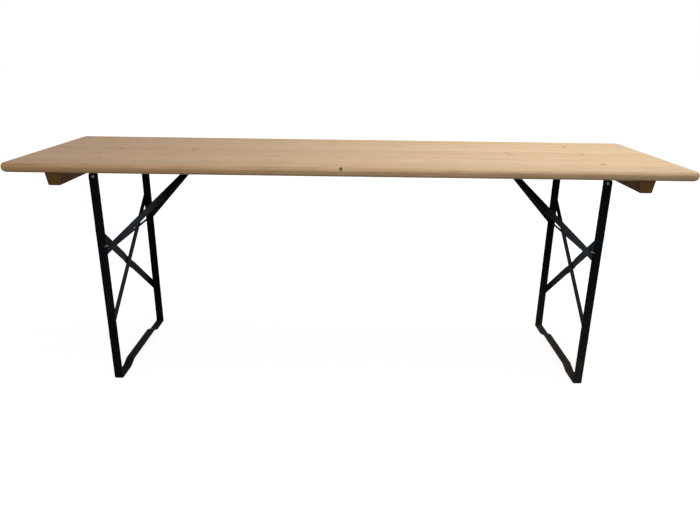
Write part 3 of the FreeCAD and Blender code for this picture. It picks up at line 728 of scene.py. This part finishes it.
board_shape = bmesh.new()
bmesh.ops.create_cube(board_shape, size=1.0,
                      matrix=Matrix.Translation((0.0, 0.0, BOARD_TOP - BOARD_SIZE[2] / 2))
                      @ Matrix.Diagonal((*BOARD_SIZE, 1.0)))
uprights = [edge for edge in board_shape.edges
            if abs(edge.verts[0].co.z - edge.verts[1].co.z) > BOARD_SIZE[2] / 2]
bmesh.ops.bevel(board_shape, geom=uprights, offset=CORNER, segments=12, profile=0.5,
                affect="EDGES", material=-1)
rims = [edge for edge in board_shape.edges
        if any(abs(face.normal.z) > 0.99 for face in edge.link_faces)]
bmesh.ops.bevel(board_shape, geom=rims, offset=BULL_NOSE, segments=10, profile=0.5,
                affect="EDGES", material=-1)
board = add_piece("board", board_shape, "top_assembly", "lacquered_board", ["table_top"])
for polygon in board.data.polygons:
    polygon.use_smooth = max(abs(part) for part in polygon.normal) < 0.9999

# %% Cut the seats of the bolt heads
def add_prism(shape, sides, radius, thick, middle):
    """Add an upright prism, such as a disc or a nut, to a bmesh."""
    bmesh.ops.create_cone(shape, cap_ends=True, segments=sides, radius1=radius,
                          radius2=radius, depth=thick, matrix=Matrix.Translation(middle))


HINGE_X = 0.833
CATCH_X = 0.569
BOLT_HEAD = 0.008
SEAT_RADIUS = BOLT_HEAD + 0.0002
SEAT_DEPTH = 0.0028
SIDES = {"left": -1, "right": 1}
STRAP_BOLTS = {side: [(sign * HINGE_X, y, 0.0) for y in (-0.215, 0.0, 0.215)]
               for side, sign in SIDES.items()}
CATCH_BOLTS = {side: [(sign * CATCH_X, y, 0.0) for y in (-0.019, 0.019)]
               for side, sign in SIDES.items()}

seats = bmesh.new()
for places in (*STRAP_BOLTS.values(), *CATCH_BOLTS.values()):
    for x, y, _ in places:
        add_prism(seats, 32, SEAT_RADIUS, 2 * SEAT_DEPTH, (x, y, BOARD_TOP))
cutter = place_in_scene("seats", mesh_from(seats, "seats"))
hollow = board.modifiers.new("seats", "BOOLEAN")
hollow.object = cutter
hollow.solver = "EXACT"
apply_modifiers(board)
bpy.data.objects.remove(cutter)


# %% [markdown]
# ## Turned pieces
#
# Rivets, bolts, pins and rods are round, so each is a profile of radius and height pairs, spun
# about Z. A profile starts and ends on the axis, and merging the doubled points there closes
# both poles. A finished shape is copied to each of its places, with its Z axis turned to where
# its head points, and all copies on one side of the table are one piece.

# %% Helpers for turned shapes
UP = (0.0, 0.0, 1.0)
DOWN = (0.0, 0.0, -1.0)
FRONT = (0.0, -1.0, 0.0)
REAR = (0.0, 1.0, 0.0)


def turned(profile, steps=24, ring=False):
    """A bmesh spun about Z. A ring's profile is closed and stays clear of the axis."""
    shape = bmesh.new()
    points = [shape.verts.new((radius, 0.0, height)) for radius, height in profile]
    lines = [shape.edges.new(pair) for pair in zip(points, points[1:])]
    if ring:
        lines.append(shape.edges.new((points[-1], points[0])))
    bmesh.ops.spin(shape, geom=points + lines, cent=ORIGIN, axis=UP, angle=2 * math.pi,
                   steps=steps, use_merge=True)
    bmesh.ops.remove_doubles(shape, verts=shape.verts, dist=1e-6)
    bmesh.ops.recalc_face_normals(shape, faces=shape.faces)
    return shape


def put(target, shape, places, facing=UP):
    """Copy a shape into another bmesh at each place, its Z axis turned to a direction."""
    turn = Vector(UP).rotation_difference(Vector(facing)).to_matrix().to_4x4()
    for place in places:
        copy = bpy.data.meshes.new("copy")
        shape.to_mesh(copy)
        copy.transform(Matrix.Translation(place) @ turn)
        target.from_mesh(copy)
        bpy.data.meshes.remove(copy)


def add_copies(name, shape, places, facings, body, slot, replaced):
    """One piece made of a shape's copies at some places, facing one or more ways."""
    whole = bmesh.new()
    for facing in facings:
        put(whole, shape, places, facing)
    shape.free()
    add_piece(name, whole, body, slot, [replaced])


def dome(radius, thick, base):
    """Profile of a domed head from its pole down to its rim at height base."""
    rise = ((0.0, 1.0), (0.3, 0.97), (0.56, 0.86), (0.78, 0.66), (0.93, 0.38), (1.0, 0.10),
            (1.0, 0.0))
    return [(radius * out, base + thick * up) for out, up in rise]


# %% [markdown]
# ## Bolts through the board
#
# Three bolts hold each frame's straps and two hold each catch. Their wide flat heads are let
# into the board's top; a hexagon nut is run up below. A screw thread could be a real helix,
# but only two millimetres of it stand out under the nut, so fine ridges in the turned profile
# are enough. A nut's corners are cut off where it was chamfered.

# %% Bolt and nut
SHANK = 0.003
NUT_RADIUS = 0.0058
NUT_THICK = 0.005
BOLT_END = 0.002
BOLT_FLUSH = 0.0002


def bolt(nut_top):
    """A bolt with a flush head in the board's top and its nut run up to a height."""
    head = BOARD_TOP - BOLT_FLUSH
    under = BOARD_TOP - SEAT_DEPTH
    low = nut_top - NUT_THICK - BOLT_END
    profile = [(0.0, head), (0.0050, head - 0.00005), (0.0070, head - 0.0002),
               (0.0078, head - 0.0005), (BOLT_HEAD, head - 0.0010), (BOLT_HEAD, under + 0.0003),
               (0.0077, under), (SHANK, under), (SHANK, low + 0.0021)]
    for ridge in range(4):
        profile += [(SHANK - 0.0003, low + 0.0018 - ridge * 0.0004),
                    (SHANK, low + 0.0016 - ridge * 0.0004)]
    profile += [(SHANK - 0.0005, low), (0.0, low)]
    shape = turned(profile, steps=32)
    nut = bmesh.new()
    middle = nut_top - NUT_THICK / 2
    add_prism(nut, 6, NUT_RADIUS, NUT_THICK, (0.0, 0.0, middle))
    corners = [vert for vert in nut.verts if vert.co.z < middle]
    bmesh.ops.bevel(nut, geom=corners, offset=0.0009, segments=1, profile=0.5,
                    affect="VERTICES", material=-1)
    put(shape, nut, [ORIGIN])
    nut.free()
    return shape


STRAP_UNDER = 0.747
STRAP_THICK = 0.003
for side in SIDES:
    bolts = bmesh.new()
    outer_bolt = bolt(STRAP_UNDER)
    lap_bolt = bolt(STRAP_UNDER - STRAP_THICK)
    front, middle, rear = STRAP_BOLTS[side]
    put(bolts, outer_bolt, [front, rear])
    put(bolts, lap_bolt, [middle])
    lap_bolt.free()
    add_piece(f"strap_bolts_{side}", bolts, "top_assembly", "tarnished_bolts",
              [f"bracket_screws_{side}"])
    add_copies(f"catch_bolts_{side}", outer_bolt, CATCH_BOLTS[side], [UP], "top_assembly",
               "tarnished_bolts", f"catch_screws_{side}")

# %% [markdown]
# ## Wood screws
#
# Pan-head screws hold the battens and the latch springs. The cross recess is the detail that
# tells a screw from a rivet. It could be cut by a Boolean, but a head with 24 sides already has
# a vertex every 15 degrees, so the inset ring is pulled into a cross by six factors that
# repeat every quarter turn, and then sunk.

# %% Pan-head screw with a cross recess
CROSS = (0.966, 1.0, 0.518, 0.366, 0.518, 1.0)
SCREW_SHANK = 0.0019
THREAD_ROOT = 0.0014


def wood_screw(head_radius, head_thick, length):
    """A screw with its head's seat at the origin, its head up and its point down."""
    shape = bmesh.new()
    bmesh.ops.create_cone(shape, cap_ends=True, segments=24, radius1=head_radius,
                          radius2=head_radius * 0.8, depth=head_thick,
                          matrix=Matrix.Translation((0.0, 0.0, head_thick / 2)))
    rim = [edge for edge in shape.edges
           if all(vert.co.z > head_thick * 0.9 for vert in edge.verts)]
    bmesh.ops.bevel(shape, geom=rim, offset=head_thick * 0.35, segments=3, profile=0.5,
                    affect="EDGES", material=-1)
    crown = max(shape.faces, key=lambda face: face.calc_center_median().z * (len(face.verts) > 4))
    bmesh.ops.inset_individual(shape, faces=[crown], thickness=head_radius * 0.05)
    arm = head_radius * 0.46
    for vert in crown.verts:
        angle = math.atan2(vert.co.y, vert.co.x)
        reach = arm * CROSS[round(math.degrees(angle) / 15.0) % 6]
        vert.co.x = reach * math.cos(angle)
        vert.co.y = reach * math.sin(angle)
    floor_face = bmesh.ops.extrude_discrete_faces(shape, faces=[crown])["faces"][0]
    for vert in floor_face.verts:
        vert.co = Vector((vert.co.x * 0.7, vert.co.y * 0.7, vert.co.z - head_thick * 0.6))
    shank = [(0.0, 0.0), (SCREW_SHANK, 0.0), (SCREW_SHANK, -length * 0.3)]
    for turn_number in range(8):
        level = -length * (0.32 + 0.07 * turn_number)
        shank += [(SCREW_SHANK, level), (THREAD_ROOT, level - length * 0.035)]
    shank.append((0.0, -length))
    threaded = turned(shank, steps=12)
    put(shape, threaded, [ORIGIN])
    threaded.free()
    return shape


# %% Screws of the battens and the latch springs
SCREW_HEAD = 0.004
SCREW_HEAD_THICK = 0.0018
POINTS_AT = BOARD_TOP - 0.012
BATTEN_X = 0.944
BATTEN_SEAT = 0.7145
SPRING_X = CATCH_X - 0.036
SPRING_SEAT = 0.7486
for side, sign in SIDES.items():
    for name, x, rows, seat in (("batten", BATTEN_X, (-0.24, 0.0, 0.24), BATTEN_SEAT),
                                ("spring", SPRING_X, (-0.01, 0.01), SPRING_SEAT)):
        add_copies(f"{name}_wood_screws_{side}",
                   wood_screw(SCREW_HEAD, SCREW_HEAD_THICK, POINTS_AT - seat),
                   [(sign * x, y, seat) for y in rows], [DOWN], "top_assembly", "zinc_screws",
                   f"{name}_screws_{side}")

# %% [markdown]
# ## Rivets and rods of the leg frames
#
# Every rivet has a domed head outside, and the braces' rivets have low ones. The hinge rivet's
# shank turns in the bracket's lug and has a second head behind it, the stop rivet's plain end
# stands inside the leg, and the cross rod is one long rivet with a shoulder inside each leg.
# Distances are measured outwards from the middle of the frame, so one profile serves the front
# and, turned about, the rear. The crossed braces keep their shape, but their ends are cropped
# upright, just within the legs' width, so that no corner can catch a sleeve.

# %% Rivet profiles
FRAME_MIDDLE_Y = -0.0135
OUTSIDE = 0.2685
FLANGE = 0.003
LUG_BACK = 0.2618
HEAD_THICK = 0.0024
LOW_HEAD = 0.0011
WIDE_HEAD = 0.0065
NECK = 0.0034
ROD = 0.004
STOP_HEAD = 0.004
STOP_SHANK = 0.0025
STOP_END = OUTSIDE - 0.009

half_rod = (dome(WIDE_HEAD, HEAD_THICK, OUTSIDE)
            + [(NECK, OUTSIDE), (NECK, OUTSIDE - FLANGE), (ROD, OUTSIDE - FLANGE)])
hinge_profile = half_rod + [(ROD, LUG_BACK), (WIDE_HEAD, LUG_BACK),
                            (WIDE_HEAD, LUG_BACK - 0.0008), (0.0055, LUG_BACK - 0.0018),
                            (0.003, LUG_BACK - HEAD_THICK), (0.0, LUG_BACK - HEAD_THICK)]
stop_profile = (dome(STOP_HEAD, HEAD_THICK, OUTSIDE)
                + [(STOP_SHANK, OUTSIDE), (STOP_SHANK, STOP_END + 0.0004),
                   (STOP_SHANK - 0.0004, STOP_END), (0.0, STOP_END)])
rod_profile = half_rod + [(radius, -height) for radius, height in reversed(half_rod)]
print("rod profile has", len(rod_profile), "points")


def through_rivet(head_radius, shank_radius, grip):
    """A rivet with a low head at both ends, from height 0 up to its grip."""
    upper = dome(head_radius, LOW_HEAD, grip) + [(shank_radius, grip)]
    return turned(upper + [(radius, grip - height) for radius, height in reversed(upper)])


# %% Hinge rivets, stop rivets and cross rods
ROD_Z = 0.466
HINGE_Z = 0.730
STOP_X = 0.822
STOP_Z = 0.4951
for side, sign in SIDES.items():
    for name, replaced, profile, x, z, facings, slot in (
            ("hinge_rivet_pair", "hinge_rivets", hinge_profile, HINGE_X, HINGE_Z, (FRONT, REAR),
             "riveted_steel"),
            ("stop_rivet_pair", "stop_rivets", stop_profile, STOP_X, STOP_Z, (FRONT, REAR),
             "riveted_steel"),
            ("stay_rod", "cross_rod", rod_profile, HINGE_X, ROD_Z, (REAR,), "painted_frame")):
        add_copies(f"{name}_{side}", turned(profile, steps=32),
                   [(sign * x, FRAME_MIDDLE_Y, z)], facings, f"leg_frame_{side}", slot,
                   f"{replaced}_{side}")

# %% Crossed braces, cropped within the legs' width
BRACE_END = 0.2755
for side in SIDES:
    for which in ("inner", "outer"):
        node = nodes[f"cross_brace_{which}_{side}"]
        bar = bmesh.new()
        bar.from_mesh(node.data)
        bar.transform(node.matrix_world)
        bmesh.ops.remove_doubles(bar, verts=bar.verts, dist=1e-6)
        for outwards in (-1.0, 1.0):
            cut = bmesh.ops.bisect_plane(bar, geom=bar.verts[:] + bar.edges[:] + bar.faces[:],
                                         dist=1e-6, plane_co=(0.0, outwards * BRACE_END, 0.0),
                                         plane_no=(0.0, outwards, 0.0), clear_outer=True)
            rim = [part for part in cut["geom_cut"] if isinstance(part, bmesh.types.BMEdge)]
            bmesh.ops.contextual_create(bar, geom=rim)
        bmesh.ops.recalc_face_normals(bar, faces=bar.faces)
        add_piece(f"cropped_brace_{which}_{side}", bar, f"leg_frame_{side}", "painted_frame",
                  [f"cross_brace_{which}_{side}"])

# %% Brace rivets
LEG_OUTSIDE = 0.848
BRACE_THICK = 0.003
BRACE_ROWS = (-0.267, 0.267)
BRACE_LEVELS = (0.165, 0.545)
for side, sign in SIDES.items():
    ends = [(sign * (LEG_OUTSIDE - FLANGE), y, z) for y in BRACE_ROWS for z in BRACE_LEVELS]
    crossing = (sign * LEG_OUTSIDE, 0.0, sum(BRACE_LEVELS) / 2)
    add_copies(f"brace_rivet_set_{side}", through_rivet(0.0055, 0.003, FLANGE + BRACE_THICK),
               [*ends, crossing], [(sign, 0.0, 0.0)], f"leg_frame_{side}", "painted_frame",
               f"brace_rivets_{side}")

# %% [markdown]
# ## Apex pins and washers
#
# The pin that snaps into the catch is bare steel with its ends chamfered, so that it finds the
# hooks. Two washers pressed on it keep both stay arms together.

# %% Apex pins and washers
PIN_HALF = 0.019
PIN_CHAMFER = 0.0008
WASHER_IN = 0.0042
WASHER_THICK = 0.002
WASHER_HOLE = ROD + 0.00001
WASHER_RIM = 0.007
SOFTENED = 0.0003
pin_profile = [(0.0, PIN_HALF), (ROD - PIN_CHAMFER, PIN_HALF), (ROD, PIN_HALF - PIN_CHAMFER),
               (ROD, PIN_CHAMFER - PIN_HALF), (ROD - PIN_CHAMFER, -PIN_HALF), (0.0, -PIN_HALF)]
washer_profile = [(WASHER_HOLE, 0.0), (WASHER_RIM - SOFTENED, 0.0), (WASHER_RIM, SOFTENED),
                  (WASHER_RIM, WASHER_THICK - SOFTENED), (WASHER_RIM - SOFTENED, WASHER_THICK),
                  (WASHER_HOLE, WASHER_THICK)]
for side, sign in SIDES.items():
    apex = Vector((sign * CATCH_X, 0.0, HINGE_Z))
    for name, shape, starts in (
            ("pin", turned(pin_profile, steps=32), [0.0]),
            ("washers", turned(washer_profile, steps=32, ring=True),
             [WASHER_IN, -WASHER_IN - WASHER_THICK])):
        add_copies(f"latch_{name}_{side}", shape,
                   [apex + Vector((0.0, start, 0.0)) for start in starts], [REAR],
                   f"stay_{side}", "pin_steel", f"apex_{name}_{side}")

# %% [markdown]
# ## Weld beads
#
# Each leg stands on the foot bar in a corner of two weld beads, painted over with the frame. A
# bead is a row of small overlapping drops of metal. Balls of slightly uneven size are strung
# along the seam, and a voxel Remesh makes one closed skin of them.

# %% Weld beads at the legs' feet
DROP = 0.0021
DROP_PITCH = 0.0019
BEAD_Z = 0.0046
BEAD_OUT = 0.0008
INNER_SEAM_X = (0.8205, 0.8425)
FLANGE_SEAM_X = LEG_OUTSIDE - FLANGE - BEAD_OUT
LEG_SEAMS_Y = ((-0.279 + BEAD_OUT, -0.276, -0.255), (0.252 - BEAD_OUT, 0.258, 0.279))
dice = random.Random(41)


def weld_bead(shape, start, end):
    """A row of drops from one end of a seam to the other."""
    run = Vector(end) - Vector(start)
    count = max(2, round(run.length / DROP_PITCH))
    for number in range(count + 1):
        size = DROP * dice.uniform(0.9, 1.12)
        place = Vector(start) + run * (number / count)
        bmesh.ops.create_icosphere(shape, subdivisions=2, radius=size,
                                   matrix=Matrix.Translation(place))


for side, sign in SIDES.items():
    beads = bmesh.new()
    for inner_y, seam_start, seam_end in LEG_SEAMS_Y:
        weld_bead(beads, *((sign * x, inner_y, BEAD_Z) for x in INNER_SEAM_X))
        weld_bead(beads, *((sign * FLANGE_SEAM_X, y, BEAD_Z) for y in (seam_start, seam_end)))
    welds = add_piece(f"foot_welds_{side}", beads, f"leg_frame_{side}", "painted_frame")
    skin = welds.modifiers.new("skin", "REMESH")
    skin.mode = "VOXEL"
    skin.voxel_size = 0.00055
    skin.use_smooth_shade = True
    apply_modifiers(welds)

# %% [markdown]
# ## Studio
#
# A soft lamp hangs over the right end, so the board is brighter there, and its edge and
# everything below it stay darker. The background is white because the camera's own rays, and
# those of reflections, see a white floor and world: no extra light falls on the table. Far
# behind the table, where the lamps hardly reach, the floor glows a little more, so that no line
# shows where it ends. Seen from below it is clear, so that the underside can be looked at.

# %% Floor
FLOOR_REACH = 30.0
UNDER_FEET = -0.0005
shape = bmesh.new()
bmesh.ops.create_grid(shape, x_segments=1, y_segments=1, size=FLOOR_REACH)
floor = place_in_scene("floor", mesh_from(shape, "floor"))
floor.location.z = UNDER_FEET
print("floor:", len(floor.data.polygons), "face,", 2 * FLOOR_REACH, "m wide")


# %% Floor finish
def empty_tree(holder):
    """The node tree of a material or a world, with nothing in it yet."""
    holder.use_nodes = True
    holder.node_tree.nodes.clear()
    return holder.node_tree


def seen_rays(tree):
    """1 for what the camera sees, directly, in a reflection or through glass; 0 for light."""
    rays = add_node(tree, "ShaderNodeLightPath").outputs
    direct = calc(tree, "MAXIMUM", rays["Is Camera Ray"], rays["Is Glossy Ray"])
    return calc(tree, "MAXIMUM", direct, rays["Is Transmission Ray"])


WHITE = (1.0, 1.0, 1.0)
FLOOR_GREY = (0.52, 0.52, 0.52)
FLOOR_GLOW = 0.88
FAR_GLOW = 1.0
floor_finish = bpy.data.materials.new("floor")
tree = empty_tree(floor_finish)
matt = add_node(tree, "ShaderNodeBsdfDiffuse", {"Color": FLOOR_GREY})
behind = split(tree, object_place(tree))["Y"]
strength = ramp(tree, behind, 1.5, 5.0, FLOOR_GLOW, FAR_GLOW)
glow = add_node(tree, "ShaderNodeEmission",
                {"Color": WHITE, "Strength": product(tree, seen_rays(tree), strength)})
both = add_node(tree, "ShaderNodeAddShader", {0: matt.outputs[0], 1: glow.outputs[0]})
below = add_node(tree, "ShaderNodeNewGeometry").outputs["Backfacing"]
clear = add_node(tree, "ShaderNodeBsdfTransparent")
one_sided = add_node(tree, "ShaderNodeMixShader",
                     {0: below, 1: both.outputs[0], 2: clear.outputs[0]})
add_node(tree, "ShaderNodeOutputMaterial", {"Surface": one_sided.outputs[0]})
floor.data.materials.append(floor_finish)
tell("floor finish", tree)

# %% World
AMBIENT = 0.18
world = bpy.data.worlds.new("studio")
bpy.context.scene.world = world
tree = empty_tree(world)
sky = add_node(tree, "ShaderNodeBackground",
               {"Color": WHITE, "Strength": ramp(tree, seen_rays(tree), 0.0, 1.0, AMBIENT, 1.0)})
add_node(tree, "ShaderNodeOutputWorld", {"Surface": sky.outputs[0]})
tell("world", tree)


# %% Lamps
def soft_box(name, place, target, size, watts):
    """A square area lamp that faces a target."""
    lamp_data = bpy.data.lights.new(name, "AREA")
    lamp_data.shape = "SQUARE"
    lamp_data.size = size
    lamp_data.energy = watts
    lamp = place_in_scene(name, lamp_data)
    lamp.location = place
    lamp.rotation_euler = (Vector(target) - Vector(place)).to_track_quat("-Z", "Y").to_euler()
    print(f"{name}: {watts} W")


soft_box("over_right_end", (1.0, 0.1, 2.6), (0.9, 0.1, 0.0), 1.4, 32.0)
soft_box("front", (0.0, -3.3, 1.45), (0.0, -0.35, 0.76), 1.6, 31.0)
